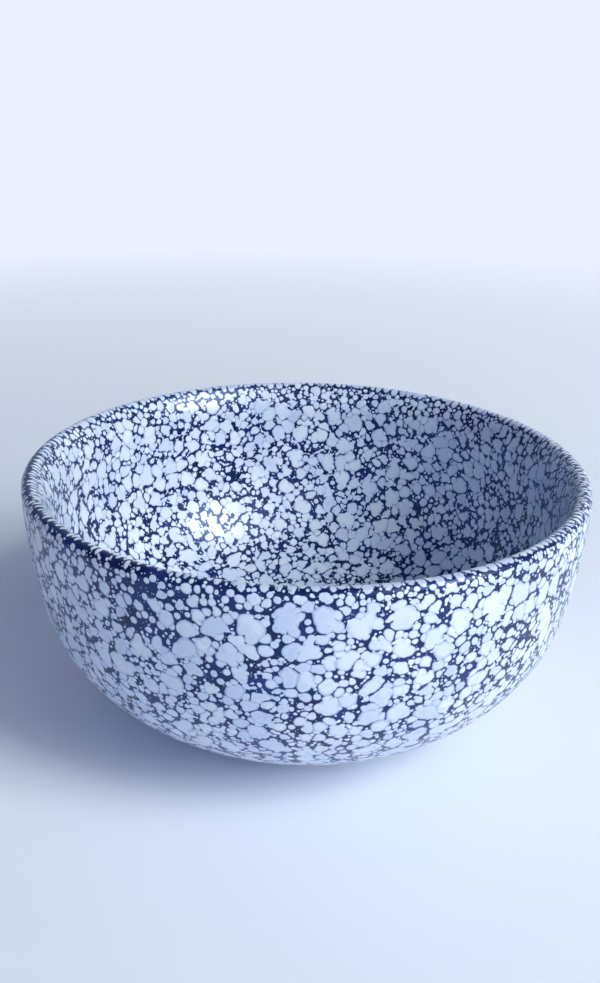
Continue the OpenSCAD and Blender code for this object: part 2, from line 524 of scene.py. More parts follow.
# %% Throwing families of drops
rng = np.random.default_rng(27)
FAMILIES = [
    {"tries": 1700, "radius": (1.00, 1.90), "lobes": (4, 12)},
    {"tries": 8000, "radius": (0.60, 1.20), "lobes": (1, 7)},
    {"tries": 9000, "radius": (0.36, 0.70), "lobes": (0, 3)},
]
HEAD_SKEW = 1.4
LOBE_REACH = (0.9, 1.6)
LOBE_SIZE = (0.24, 0.72)
AREA_STEPS = 2000


def throw_evenly(facing, first, last, tries):
    """Lengths and turns spread evenly over a face between two lengths.

    A strip of the face has an area of its radius times its width, so lengths are drawn by looking
    even numbers up in the running sum of the radius.
    """
    grid = np.linspace(first, last, AREA_STEPS)
    area = np.cumsum(walk(facing, grid)[0][:, 0])
    lengths = np.interp(rng.uniform(area[0], area[-1], tries), area, grid)
    return lengths, rng.uniform(-np.pi, np.pi, tries)


def throw_family(facing, first, last, scale, tries, radius, lobes):
    """Places, radii and first drops of one kind of family, with each first drop before its lobes."""
    lengths, turn = throw_evenly(facing, first, last, tries)
    heads = spin(walk(facing, lengths)[0], turn)
    low, high = radius
    head_radius = (low + (high - low) * rng.random(tries) ** HEAD_SKEW) * scale * MM
    parent = np.repeat(np.arange(tries), rng.integers(*lobes, tries))
    bearing = rng.uniform(0, 2 * np.pi, len(parent))
    reach = rng.uniform(*LOBE_REACH, len(parent)) * head_radius[parent]
    across, along = tangents(heads[parent], facing)
    flat = heads[parent] + reach[:, None] * (np.cos(bearing)[:, None] * across
                                             + np.sin(bearing)[:, None] * along)
    lobe_radius = rng.uniform(*LOBE_SIZE, len(parent)) * head_radius[parent]
    places = np.concatenate((heads, settle(flat, facing, np.zeros(len(parent)))))
    return places, np.concatenate((head_radius, lobe_radius)), np.concatenate((np.arange(tries), parent))


print("first drops in mm radius:", [family["radius"] for family in FAMILIES])

# %% [markdown]
# Not every drop that is thrown can stay. Families are taken from the largest to the smallest: a drop stays
# if it isn't too close to one of another family that already lies there, and a lobe stays only with its first
# drop. A k-d tree, which sorts points by their place, finds the neighbours quickly.

# %% Landing
LAND_REACH = 1.2
SPACING_RADII = (0.30, 0.36, 0.9, 1.6)
SPACING_SHARES = (1.08, 0.95, 0.86, 0.82)


def spacing(radius):
    """Least share of two radii that lies between drops of two families, by the smaller one's radius."""
    return np.interp(radius / MM, SPACING_RADII, SPACING_SHARES)


def land(places, radius, head):
    """Numbers of the drops that stay, tried family by family from the largest to the smallest.

    A drop that comes later is never larger than the first drop of this family, which limits the search.
    """
    order = np.lexsort((np.arange(len(head)) != head, head, -radius[head]))
    tree = kdtree.KDTree(len(order))
    for number, place in enumerate(places):
        tree.insert(place, number)
    tree.balance()
    rank = np.empty(len(order), int)
    rank[order] = np.arange(len(order))
    free = np.ones(len(order), bool)
    stays = np.zeros(len(order), bool)
    share = spacing(radius)
    for number in order:
        if not free[number] or not (stays[head[number]] or head[number] == number):
            continue
        stays[number] = True
        near = tree.find_range(places[number], LAND_REACH * (radius[number] + radius[head[number]]))
        others = np.array([other for _, other, _ in near])
        gaps = np.array([gap for _, _, gap in near])
        later = (rank[others] > rank[number]) & (head[others] != head[number])
        close = gaps < share[others] * (radius[number] + radius[others])
        free[others[later & close]] = False
    return np.flatnonzero(stays)


def keep_landed(places, radius, head):
    """Places, radii and renumbered first drops of those that stay."""
    stays = land(places, radius, head)
    number = np.full(len(places), -1)
    number[stays] = np.arange(len(stays))
    return places[stays], radius[stays], number[head[stays]]


print("least spacing for drops of 0.4 and 1.0 mm radius:", spacing(np.array((0.4, 1.0)) * MM))

# %% [markdown]
# Drops of one family run together or keep a faint line. Where two families meet, some run together, some
# keep a faint blue line, and the rest are parted by a vein of blue. Which of these it is comes from the
# numbers of the two, so that both sides agree.

# %% How drops meet
DUST = 0.25 * MM
TOUCH_REACH = 1.25
MERGED_SHARE = 0.20
FAINT_SHARE = 0.46
LOBE_MERGED_SHARE = 0.45
MERGED, FAINT, CLEAR = range(3)
FAINT_OVERLAP = 0.06 * MM
DUST_VEIN = 0.06
VEIN_LEAST = 0.05
VEIN_RANGE = 0.42
CHANCE_LOW = 12.9898
CHANCE_HIGH = 78.233
CHANCE_SCALE = 43758.5453


def near_pairs(spots, places, reach):
    """Numbers of the spots and the places that lie within each spot's reach, and how far apart they are."""
    tree = kdtree.KDTree(len(places))
    for number, place in enumerate(places):
        tree.insert(place, number)
    tree.balance()
    found = [tree.find_range(spot, far) for spot, far in zip(spots, reach)]
    first = np.repeat(np.arange(len(spots)), [len(near) for near in found])
    second = np.array([other for near in found for _, other, _ in near], int)
    apart = np.array([gap for near in found for _, _, gap in near])
    return first, second, apart


def neighbours(places, radius):
    """Pairs of drops whose circles touch or nearly touch, as two arrays of numbers."""
    first, second, apart = near_pairs(places, places, TOUCH_REACH * (radius + radius.max()))
    touching = (first != second) & (apart < TOUCH_REACH * (radius[first] + radius[second]))
    return first[touching], second[touching]


def meet(first, second, radius, head):
    """How the drops of each pair meet, and the width of the vein between them.

    The chance is the end of a large sine of the two numbers, in order, so it is the same from both sides.
    """
    kin = head[first] == head[second]
    one, other = np.where(kin, first, head[first]), np.where(kin, second, head[second])
    low, high = np.minimum(one, other), np.maximum(one, other)
    key = np.sin(low * CHANCE_LOW + high * CHANCE_HIGH) * CHANCE_SCALE
    chance = key - np.floor(key)
    dust = np.minimum(radius[first], radius[second]) < DUST
    tests = [kin & (chance < LOBE_MERGED_SHARE), kin, dust, chance < MERGED_SHARE,
             chance < MERGED_SHARE + FAINT_SHARE]
    kind = np.select(tests, [MERGED, FAINT, CLEAR, MERGED, FAINT], CLEAR)
    vein = np.where(dust, DUST_VEIN, VEIN_LEAST + VEIN_RANGE * (chance - MERGED_SHARE - FAINT_SHARE)) * MM
    return kind, np.where(kind == FAINT, -FAINT_OVERLAP, vein)


print(f"{MERGED_SHARE:.0%} of touching families run together, {FAINT_SHARE:.0%} keep a faint line")

# %% [markdown]
# A landed drop isn't a plain disc. Its outline is a slightly stretched circle with a few gentle lobes. Where
# a line or a vein parts two drops, both outlines are trimmed at the line of equal power between the two
# circles, the straight line through the points where they cross. That keeps the larger drop the larger one.

# %% Outlines of drops
STRETCH_MOST = 0.8
STRETCH_POWER = 0.5
STRETCHED_SHARE = 0.4
OUTLINE_WAVES = ((2, 0.06), (3, 0.06), (5, 0.04))
LEAST_COSINE = 0.15
LEAST_REACH = 0.3
EASING_PASSES = 2


def free_outline(radius, angles):
    """Radius of a lone drop in each direction: an ellipse with lobes of two, three and five waves."""
    count = len(radius)
    amount = STRETCH_MOST * rng.power(STRETCH_POWER, (count, 1))
    stretch = 1 + amount * (rng.random((count, 1)) < STRETCHED_SHARE)
    turned = angles[None, :] - rng.uniform(0, np.pi, (count, 1))
    outline = radius[:, None] / np.sqrt(np.cos(turned) ** 2 / stretch + np.sin(turned) ** 2 * stretch)
    for waves, depth in OUTLINE_WAVES:
        phase = rng.uniform(0, 2 * np.pi, (count, 1))
        outline *= 1 + rng.normal(0.0, depth, (count, 1)) * np.cos(waves * angles[None, :] + phase)
    return outline


def vein_reach(angles, places, across, along, radius, first, second, width):
    """Distance from each drop's centre to its nearest vein, in each direction.

    The line of equal power lies at (d*d + r*r - q*q) / 2d from a drop of radius r, towards one of radius q
    at distance d. Half the vein's width comes off, and an edge seen at an angle is farther by 1/cosine.
    """
    way = places[second] - places[first]
    east = (way * across[first]).sum(-1)
    north = (way * along[first]).sum(-1)
    apart = np.hypot(east, north)
    bisector = (apart**2 + radius[first] ** 2 - radius[second] ** 2) / (2 * apart) - width / 2
    cosine = np.cos(angles[None, :] - np.arctan2(north, east)[:, None])
    reach = np.where(cosine > LEAST_COSINE, bisector[:, None] / np.maximum(cosine, LEAST_COSINE), np.inf)
    order = np.argsort(first, kind="stable")
    drops, starts = np.unique(first[order], return_index=True)
    nearest = np.full((len(places), len(angles)), np.inf)
    nearest[drops] = np.minimum.reduceat(reach[order], starts, axis=0)
    return nearest


def trim_outlines(outline, clear_reach, faint_reach, radius):
    """Outlines cut back to the nearest veins and eased at the corners, and where a faint line cuts them."""
    cut = np.minimum(outline, clear_reach)
    faint = faint_reach < cut
    cut = np.maximum(np.minimum(cut, faint_reach), LEAST_REACH * radius[:, None])
    for _ in range(EASING_PASSES):
        eased = (np.roll(cut, 1, 1) + np.roll(cut, -1, 1)) / 4 + cut / 2
        cut = np.where(faint, cut, np.minimum(cut, eased))
    return cut, faint


print("waves round an outline, and their depths:", OUTLINE_WAVES)

# %% [markdown]
# Each drop becomes a low closed lens: a centre, one or more rings, a rim that dips just under the blue
# glaze, and a back. A few hundredths of a millimetre of height are enough for the light to catch. Larger
# drops get more spokes, and those on a bend more rings, because there are far too many for one fine mesh.

# %% Lens-shaped drops
SIZES = {
    "large": {"from": 1.10, "to": 9.0, "spokes": 14, "shares": (0.84, 1.0)},
    "medium": {"from": 0.70, "to": 1.10, "spokes": 12, "shares": (0.82, 1.0)},
    "small": {"from": 0.53, "to": 0.70, "spokes": 10, "shares": (0.80, 1.0)},
    "fine": {"from": 0.28, "to": 0.53, "spokes": 9, "shares": (1.0,)},
    "tiny": {"from": 0.1, "to": 0.28, "spokes": 7, "shares": (1.0,)},
    "bent": {"from": 0.40, "to": 9.0, "spokes": 12, "shares": (0.35, 0.7, 1.0), "bent": True},
    "bent_fine": {"from": 0.1, "to": 0.40, "spokes": 8, "shares": (0.6, 1.0), "bent": True},
}


def lens_triangles(count, rings, spokes):
    """Corner numbers for count lenses: a fan at the centre, bands between rings, and a fan at the back."""
    spoke = np.arange(spokes)
    after = np.roll(spoke, -1)
    parts = [np.stack((0 * spoke, 1 + spoke, 1 + after), -1)]
    for ring in range(rings - 1):
        inner, outer = 1 + ring * spokes, 1 + (ring + 1) * spokes
        parts.append(np.stack((inner + spoke, outer + spoke, outer + after), -1))
        parts.append(np.stack((inner + spoke, outer + after, inner + after), -1))
    rim = 1 + (rings - 1) * spokes
    back = 1 + rings * spokes
    parts.append(np.stack((back + 0 * spoke, rim + after, rim + spoke), -1))
    lens = np.concatenate(parts)
    return (lens[None] + (back + 1) * np.arange(count)[:, None, None]).reshape(-1, 3)


def lens_flat(places, across, along, outline, angles, shares):
    """Corners of the lenses before they settle: the centre, the outline times each ring's share, the back."""
    east = np.cos(angles)[None, :, None] * across[:, None, :]
    north = np.sin(angles)[None, :, None] * along[:, None, :]
    rings = [places[:, None, :] + share * outline[..., None] * (east + north) for share in shares]
    centre = places[:, None, :]
    return np.concatenate((centre, *rings, centre), axis=1)


print("triangles to a lens:", {name: len(lens_triangles(1, len(size["shares"]), size["spokes"]))
                               for name, size in SIZES.items()})

# %% [markdown]
# The UV map of the drops doesn't hold a place: u runs from the middle of a drop to its rim and v is how
# thick the drop is, so one material can paint every drop from pale core to blue rim, and it bakes without a
# seam. Drops that run together share one outer edge, so u falls where a drop lies inside another.

# %% From middle to rim
FAINT_NEARNESS = 0.88


def edge_nearness(corners, shares, faint, drops, first, second, places, radius):
    """How near each corner is to the edge of its drop or merged drops: 0 in the middle and 1 at the rim.

    A drop alone gives its rings' shares, held back where a faint line cuts it. Inside a merged neighbour, a
    corner is no nearer the edge than its distance from that neighbour's centre over that one's radius.
    """
    rings = [np.where(faint, min(share, FAINT_NEARNESS), share) for share in shares]
    middle = np.zeros((len(drops), 1))
    nearness = np.concatenate((middle, *rings, middle), axis=1)
    local = np.full(len(places), -1)
    local[drops] = np.arange(len(drops))
    chosen = local[first] >= 0
    mine, other = local[first[chosen]], second[chosen]
    apart = np.linalg.norm(corners[mine] - places[other][:, None, :], axis=-1) / radius[other][:, None]
    np.minimum.at(nearness, mine, apart)
    return nearness


print("u along a faint line is", FAINT_NEARNESS, "at most, and 1 at a rim")

# %% [markdown]
# The pale glaze is thickest in the middle of a drop and thins out to its rim, where the blue shines
# through. Thick drops are nearly white and thin ones are a soft blue, with a paler ring just inside the
# rim. Two ramps along u describe the two, and v mixes between them.

# %% Pale spatter glaze
THICK_CORE = (0.73, 0.81, 0.92)
THICK_SHOULDER = (0.68, 0.77, 0.91)
THICK_EDGE = (0.47, 0.57, 0.82)
THIN_CORE = (0.41, 0.52, 0.79)
THIN_RING = (0.51, 0.61, 0.85)
THIN_EDGE = (0.36, 0.45, 0.72)
DROP_RIM = (0.10, 0.14, 0.36)


def make_spatter_glaze():
    """Colour and roughness from the drop's own map: u from core to rim, v from thin to thick."""
    material, tree, shader, coordinates = new_material("pale spatter glaze")
    split = tree.nodes.new("ShaderNodeSeparateXYZ")
    tree.links.new(coordinates.outputs["UV"], split.inputs["Vector"])
    thick = add_ramp(tree, split.outputs["X"],
                     [(0.0, THICK_CORE), (0.60, THICK_SHOULDER), (0.86, THICK_EDGE), (1.0, DROP_RIM)])
    thin = add_ramp(tree, split.outputs["X"],
                    [(0.0, THIN_CORE), (0.66, THIN_RING), (0.88, THIN_EDGE), (1.0, DROP_RIM)])
    color = add_mix(tree, split.outputs["Y"], thin, thick)
    tree.links.new(color, shader.inputs["Base Color"])
    roughness = add_range(tree, split.outputs["X"], start=0.32, end=0.26)
    tree.links.new(roughness, shader.inputs["Roughness"])
    shader.inputs["Specular IOR Level"].default_value = GLAZE_SPECULAR
    return material


spatter_glaze = make_spatter_glaze()
print("made", spatter_glaze.name)

# %% [markdown]
# A hand-made glaze is never quite even. A slow random field shifts the drops between thick and thin from one
# patch to the next, and further down it makes the bare pools. A noise node can't do that, because the field
# has to be known at each drop before the drop is built.

# %% Slow random field
DRIFT_WAVES = 16
PATCH_SIZE = 16 * MM
PATCH_SEED = 11


def drift(places, wavelength, seed):
    """Slow random field with a spread of about one: a sum of cosine waves in seeded directions."""
    source = np.random.default_rng(seed)
    waves = source.normal(size=(DRIFT_WAVES, 3)) * 2 * np.pi / (wavelength * np.sqrt(3.0))
    phases = source.uniform(0, 2 * np.pi, DRIFT_WAVES)
    return np.cos(places @ waves.T + phases).sum(-1) * np.sqrt(2.0 / DRIFT_WAVES)


print(f"spread of the field over the inside face: {drift(samples, PATCH_SIZE, PATCH_SEED).std():.2f}")

# %% [markdown]
# Landed drops become pieces here, one piece to a size, so that large drops can have more corners than fine
# ones. Each drop gets a tone and a height from its family, its outline is trimmed against its neighbours,
# and its corners are put on the bowl.

# %% From landed drops to pieces
FACE_THICK = 0.66
PATCH_TONE = 0.14
SIZE_TONE = 0.14
TONE_NOISE = 0.12
LENS_LEAST = 0.012 * MM
LENS_RISE = 0.012
LENS_POWER = 5
RIM_NEARNESS = 0.98
RIM_SINK = 0.012 * MM
BACK_SINK = 0.05 * MM
BEND_LARGEST = 1.8 * MM
BEND_SWELL = 1.8


def on_bend(places, spread):
    """Whether a drop needs more rings: it reaches the tight lip, or is large and reaches the arc under it."""
    top = places[:, 2] + spread
    return (top > LIP_C[1]) | ((spread > BEND_LARGEST) & (top > EASE_C[1]))


def add_drops(name, sizes, thickness, places, radius, spread, head, across, along, put):
    """Trims and builds landed drops, one piece for each size, and puts their corners on the bowl.

    A tone is the mean thickness given, shifted by a slow field, by the drop's size and by chance. A lens is
    highest in its middle and falls as one minus a power of the nearness to its edge.
    """
    patches = drift(places, PATCH_SIZE, PATCH_SEED)
    family_tone = thickness + PATCH_TONE * patches + rng.normal(0, TONE_NOISE, len(radius))
    own_tone = SIZE_TONE * np.log2(radius / MM) + rng.normal(0, TONE_NOISE, len(radius))
    tone = np.clip(family_tone[head] + own_tone, 0.0, 1.0)
    bent = on_bend(places, spread)
    heights = (LENS_LEAST + LENS_RISE * radius)[head] * np.where(bent, BEND_SWELL, 1.0)
    first, second = neighbours(places, spread)
    kind, width = meet(first, second, radius, head)
    for size, build in sizes.items():
        angles = np.linspace(0, 2 * np.pi, build["spokes"], endpoint=False)
        drops = np.flatnonzero((radius >= build["from"] * MM) & (radius < build["to"] * MM)
                               & (bent == build.get("bent", False)))
        clear_reach, faint_reach = (vein_reach(angles, places, across, along, spread, first[kind == which],
                                               second[kind == which], width[kind == which])
                                    for which in (CLEAR, FAINT))
        outline, faint = trim_outlines(free_outline(spread, angles), clear_reach, faint_reach, spread)
        flat = lens_flat(places[drops], across[drops], along[drops], outline[drops], angles, build["shares"])
        nearness = edge_nearness(flat, build["shares"], faint[drops], drops, first[kind == MERGED],
                                 second[kind == MERGED], places, spread)
        lift = heights[drops][:, None] * (1 - nearness**LENS_POWER) - RIM_SINK * (nearness > RIM_NEARNESS)
        lift[:, -1] = -BACK_SINK
        uv = np.stack((nearness, np.repeat(tone[drops][:, None], nearness.shape[1], axis=1)), -1)
        add_piece(f"{name}_drops_{size}", put(flat, lift).reshape(-1, 3),
                  lens_triangles(len(drops), len(build["shares"]), build["spokes"]),
                  spatter_glaze, uv.reshape(-1, 2))
        print(f"  {len(drops)} drops")


print("sizes of drops, from mm radius:", {name: size["from"] for name, size in SIZES.items()})

# %% [markdown]
# On the tight lip the molten glaze ran thin, and at the left and right ends it pulled the drops out across
# the crest, where they lie like short teeth. To make them, the lip is unrolled into a flat strip, along the
# crest and over it. A drop that is round on the strip comes out long when the strip is rolled back.

# %% Unrolling the lip
LEFT_TURN = np.radians(-150)
LEFT_WIDTH = np.radians(48)
RIGHT_TURN = np.radians(-12)
RIGHT_WIDTH = np.radians(30)
# A pair holds a value where the glaze stayed, and its value where the glaze ran
LIP_STRETCH = (1.3, 2.3)


def near_turn(turn, middle, width):
    """One round a middle turn, easing to zero beyond a width on either side, whichever way round.

    It is e to the power of minus the fourth power of the distance over the width.
    """
    apart = (turn - middle + np.pi) % (2 * np.pi) - np.pi
    return np.exp(-((apart / width) ** 4))


def runniness(turn):
    """How far the glaze ran on the lip: one at its left and right ends and zero elsewhere."""
    return np.maximum(near_turn(turn, LEFT_TURN, LEFT_WIDTH), near_turn(turn, RIGHT_TURN, RIGHT_WIDTH))


def by_run(pair, turn):
    """Value of a pair at a turn: it goes from the first to the second as the glaze ran."""
    stayed, ran = pair
    return stayed + (ran - stayed) * runniness(turn)


def roll_over_lip(flat, lift):
    """Strip points on the lip: x over the crest's radius is the turn, and y stretched is the way over it.

    Ways inwards follow the inside face and ways outwards the outside face, each lifted along its normal.
    """
    turn = flat[..., 0] / LIP_C[0]
    over = flat[..., 1] * by_run(LIP_STRETCH, turn)
    inner, inner_normal = walk(INSIDE, np.maximum(over, 0.0))
    outer, outer_normal = walk(OUTSIDE, np.maximum(-over, 0.0))
    inwards = (over > 0)[..., None]
    normal = np.where(inwards, inner_normal, outer_normal)
    return spin(np.where(inwards, inner, outer) + lift[..., None] * normal, turn)


print("stretch at the left end and at the back of the lip:",
      by_run(LIP_STRETCH, np.array((LEFT_TURN, np.pi / 2))))

# %% [markdown]
# Not all of the lip was covered alike. Bare blue shows between the teeth, those at the left sit mostly on
# the inner half of the lip, and at the front left the spatter almost missed its outer half. The share of
# drops that stay, as a function of place and size, takes care of all three.

# %% What stays on the lip
BARE_TURN = np.radians(-120)
BARE_WIDTH = np.radians(26)
LIP_FINE = 0.34 * MM
LIP_COVER = 0.92
INNER_HALF = (-0.2 * MM, 0.8 * MM)
OUTER_LOSS = 0.05
BARE_LOSS = 0.80


def smooth_step(low, high, value):
    """Zero below low, one above high, and a cubic ease between them."""
    part = np.clip((value - low) / (high - low), 0.0, 1.0)
    return part * part * (3 - 2 * part)


def lip_cover(turn, over, radius):
    """Share of drops that stay on the lip: most on its inner half, fewer outside where it is bare.

    The fine ones don't stay where the glaze ran, so that the teeth there keep blue between them.
    """
    bare = np.maximum(near_turn(turn, LEFT_TURN, LEFT_WIDTH), near_turn(turn, BARE_TURN, BARE_WIDTH))
    outer = 1 - smooth_step(*INNER_HALF, over)
    cover = LIP_COVER - (OUTER_LOSS + BARE_LOSS * bare) * outer
    return cover * np.where(radius < LIP_FINE, 1 - runniness(turn), 1.0)


print("share of drops that stay outside the crest at the front left:",
      np.round(lip_cover(BARE_TURN, -LIP_R, LIP_R), 2))

# %% [markdown]
# Now drops are thrown on the strip as on a face, landed, and rolled back over the crest. Circles along each
# tooth mark where it lies, so that the drops of the faces can keep off it.

# %% Drops over the lip
LIP_TRIES = 9000
LIP_OUTWARDS = -1.1 * MM
LIP_INWARDS = 1.9 * MM
LIP_REACH = (0.6, 1.0)
LIP_LEAST = 0.16 * MM
LIP_RANGE = (0.90 * MM, 0.68 * MM)
LIP_SKEW = 1.3
LIP_SPREAD = (1.5, 0.96)
LIP_TONE = (0.25, FACE_THICK)
MARKS_TO_A_TOOTH = 5
LIP_SIZES = {
    "long": {"from": 0.30, "to": 9.0, "spokes": 12, "shares": (0.35, 0.7, 1.0)},
    "fine": {"from": 0.1, "to": 0.30, "spokes": 8, "shares": (0.5, 0.8, 1.0)},
}


def tooth_marks(places, radius):
    """Circles that mark each tooth: the largest ones inside its ellipse, at five ways along its length.

    With half axes r and s*r, the circle at way * (s - 1/s) * r has the radius
    r * sqrt(1 - way * way * (1 - 1 / (s * s))).
    """
    way = np.linspace(-1, 1, MARKS_TO_A_TOOTH)
    slimness = 1 - by_run(LIP_STRETCH, places[:, :1] / LIP_C[0]) ** -2
    flat = np.repeat(places[:, None, :], len(way), axis=1)
    flat[..., 1] += way * slimness * radius[:, None]
    width = radius[:, None] * np.sqrt(1 - way**2 * slimness)
    return roll_over_lip(flat, 0 * width).reshape(-1, 3), width.ravel()


def spatter_lip():
    """Throws drops on the unrolled lip, lands them, rolls them over the crest and gives back their marks."""
    turn = rng.uniform(-np.pi, np.pi, LIP_TRIES)
    radius = LIP_LEAST + by_run(LIP_RANGE, turn) * rng.random(LIP_TRIES) ** LIP_SKEW
    over = rng.uniform(LIP_OUTWARDS, LIP_INWARDS, LIP_TRIES) * by_run(LIP_REACH, turn)
    falls = rng.random(LIP_TRIES) < lip_cover(turn, over, radius)
    places = np.stack((turn * LIP_C[0], over / by_run(LIP_STRETCH, turn), 0 * turn), -1)[falls]
    places, radius, head = keep_landed(places, radius[falls], np.arange(falls.sum()))
    turn = places[:, 0] / LIP_C[0]
    spread = by_run(LIP_SPREAD, turn) * radius
    across = np.repeat([[1.0, 0.0, 0.0]], len(places), axis=0)
    along = np.repeat([[0.0, 1.0, 0.0]], len(places), axis=0)
    add_drops("lip", LIP_SIZES, by_run(LIP_TONE, turn), places, radius, spread, head, across, along,
              lambda flat, lift: roll_over_lip(flat, np.where(lift > 0, BEND_SWELL, 1.0) * lift))
    return tooth_marks(places, spread)


teeth_places, teeth_radius = spatter_lip()
print(len(teeth_places) // MARKS_TO_A_TOOTH, "drops on the lip")

# %% [markdown]
# The pale glaze didn't fall evenly on the faces: here and there it left pools of blue, under the front left
# of the lip there is a strip that it almost missed, and along the left of the lip it ran off the crest. The
# slow random field makes the pools, and the turn and the depth below the lip say where the other two are.

# %% Bare places
POOL_SEED = {OUTSIDE: 5, INSIDE: 8}
POOL_SIZE = 10 * MM
POOL_EDGE = (1.0, 1.8)
INSIDE_POOLS = 0.65
OUTSIDE_POOLS = 0.85
STRIP_BARE = 0.7
STRIP_DEPTH = (4 * MM, 10 * MM)
CREST_BARE = 0.8 * MM


def bareness(places, facing):
    """How far the spatter missed a place, from 0 to 1: pools of a slow field, and the strip under the lip."""
    pools = smooth_step(*POOL_EDGE, drift(places, POOL_SIZE, POOL_SEED[facing]))
    if facing == INSIDE:
        return INSIDE_POOLS * pools
    turn = np.arctan2(places[:, 1], places[:, 0])
    depth = smooth_step(*STRIP_DEPTH, HEIGHT - places[:, 2])
    strip = near_turn(turn, BARE_TURN, BARE_WIDTH) * (1 - depth)
    return np.maximum(OUTSIDE_POOLS * pools, STRIP_BARE * strip)


def crest_gap(turn):
    """Width of bare glaze outside the lip's crest: full round the left side, and none elsewhere."""
    return CREST_BARE * near_turn(turn, LEFT_TURN, LEFT_WIDTH)


print("bare glaze outside the crest at the left:", round(crest_gap(LEFT_TURN) / MM, 2), "mm")

# %% [markdown]
# A drop also has to lie smoothly on its bend, and clear of the teeth, the bare crest and the wiped foot.
# Drops that don't fit are left out before any of them land, because one that is cut off afterwards would
# show a straight edge.

# %% Where a drop fits
SPREAD = 1.62
TEETH_DEPTH = 4 * MM
LIP_LARGEST = 1.0 * MM
FOOT_MARGIN = 0.6 * MM


def clear_of_teeth(places, radius):
    """Whether a drop as it lands stays off the marks of the teeth on the lip."""
    near = np.flatnonzero(places[:, 2] > LIP_C[1] - TEETH_DEPTH)
    first, second, apart = near_pairs(places[near], teeth_places, radius[near] + teeth_radius.max())
    touching = apart < radius[near][first] + teeth_radius[second]
    clear = np.ones(len(places), bool)
    clear[near[first[touching]]] = False
    return clear


def fits(places, radius, facing):
    """Whether a drop lies smoothly on its bend, and clear of the teeth, the bare crest and the wiped foot."""
    reach = SPREAD * radius
    smooth = (radius < LIP_LARGEST) | (places[:, 2] + reach < LIP_C[1])
    rise = np.clip((places[:, 2] - LIP_C[1]) / LIP_R, 0.0, 1.0)
    from_crest = LIP_R * np.arccos(rise) + np.maximum(LIP_C[1] - places[:, 2], 0.0)
    clear = smooth & clear_of_teeth(places, radius)
    if facing == INSIDE:
        return clear & (from_crest > reach)
    clear_of_crest = from_crest - reach > crest_gap(np.arctan2(places[:, 1], places[:, 0]))
    clear_of_foot = np.hypot(places[:, 0], places[:, 1]) - reach > OUTSIDE_END_R + FOOT_MARGIN
    return clear & clear_of_crest & clear_of_foot


print("a landed drop spreads to", SPREAD, "times its radius")

# %% [markdown]
# Now the families fall on a face. Where it is bare, most of them miss it, and a lobe is left out when its
# first drop is, so that no half cloud stays behind.

# %% Families on a face
def fall(facing, first, last, scale):
    """Places, radii and first drops of all the families that fall on a face."""
    thrown = [throw_family(facing, first, last, scale, **family) for family in FAMILIES]
    offsets = np.cumsum([0] + [len(places) for places, _, _ in thrown])
    places = np.concatenate([part for part, _, _ in thrown])
    radius = np.concatenate([part for _, part, _ in thrown])
    head = np.concatenate([part + offset for (_, _, part), offset in zip(thrown, offsets)])
    missed = rng.random(len(places)) < bareness(places, facing)
    clear = fits(places, radius, facing)
    falls = np.flatnonzero(~missed[head] & clear & clear[head])
    number = np.full(len(places), -1)
    number[falls] = np.arange(len(falls))
    return places[falls], radius[falls], number[head[falls]]


print("first drops thrown at a face:", sum(family["tries"] for family in FAMILIES))

# %% [markdown]
# Finer drops fill the gaps between the landed families in a few passes, each as large as its gap allows. In
# the bare places little more than dust falls. Measuring the gap first packs the drops far closer than chance.

# %% Filling the gaps
FILL_PASSES = 4
FILL_TRIES = 20000
FILL_LARGEST = 0.66 * MM
FILL_LEAST = 0.15 * MM
DUST_SHARE = 0.3


def drawn(radius):
    """Radius of a drop after it has spread: dust stays as it is."""
    return np.where(radius < DUST, radius, SPREAD * radius)


def room_left(spots, places, spread):
    """Distance from each spot to the nearest edge of the drops that lie there, negative under a drop."""
    first, second, apart = near_pairs(spots, places, np.full(len(spots), FILL_LARGEST + spread.max()))
    room = np.full(len(spots), FILL_LARGEST)
    np.minimum.at(room, first, apart - spread[second])
    return room


def fill_gaps(facing, first, last, places, radius, head):
    """The landed drops and, in several passes, finer ones that fill the gaps between them."""
    for _ in range(FILL_PASSES):
        lengths, turn = throw_evenly(facing, first, last, FILL_TRIES)
        spots = spin(walk(facing, lengths)[0], turn)
        missed = rng.random(FILL_TRIES) < bareness(spots, facing)
        limit = np.where(missed, rng.uniform(FILL_LEAST, DUST, FILL_TRIES), FILL_LARGEST)
        limit[missed & (rng.random(FILL_TRIES) > DUST_SHARE)] = 0.0
        taken = np.concatenate((places, teeth_places))
        room = np.minimum(room_left(spots, taken, np.concatenate((drawn(radius), teeth_radius))), limit)
        roomy = np.flatnonzero(room > FILL_LEAST)
        falls = roomy[fits(spots[roomy], room[roomy], facing)]
        stays = falls[land(spots[falls], room[falls], np.arange(len(falls)))]
        head = np.concatenate((head, len(head) + np.arange(len(stays))))
        places = np.concatenate((places, spots[stays]))
        radius = np.concatenate((radius, room[stays]))
    return places, radius, head


print("drops of 0.2 and 0.5 mm radius after they have spread:", drawn(np.array((0.2, 0.5)) * MM) / MM, "mm")

# %% [markdown]
# With all the steps at hand, each face is spattered: its drops are thrown, landed, filled in and built. The
# ones inside are a little smaller and start further from the crest, because those of the lip lie there.

# %% Spattering the faces
OUTSIDE_FIRST = 0.1 * MM
OUTSIDE_SCALE = 1.0
INSIDE_FIRST = 0.9 * MM
INSIDE_SCALE = 0.88
UNBUILT = 0.01 * MM


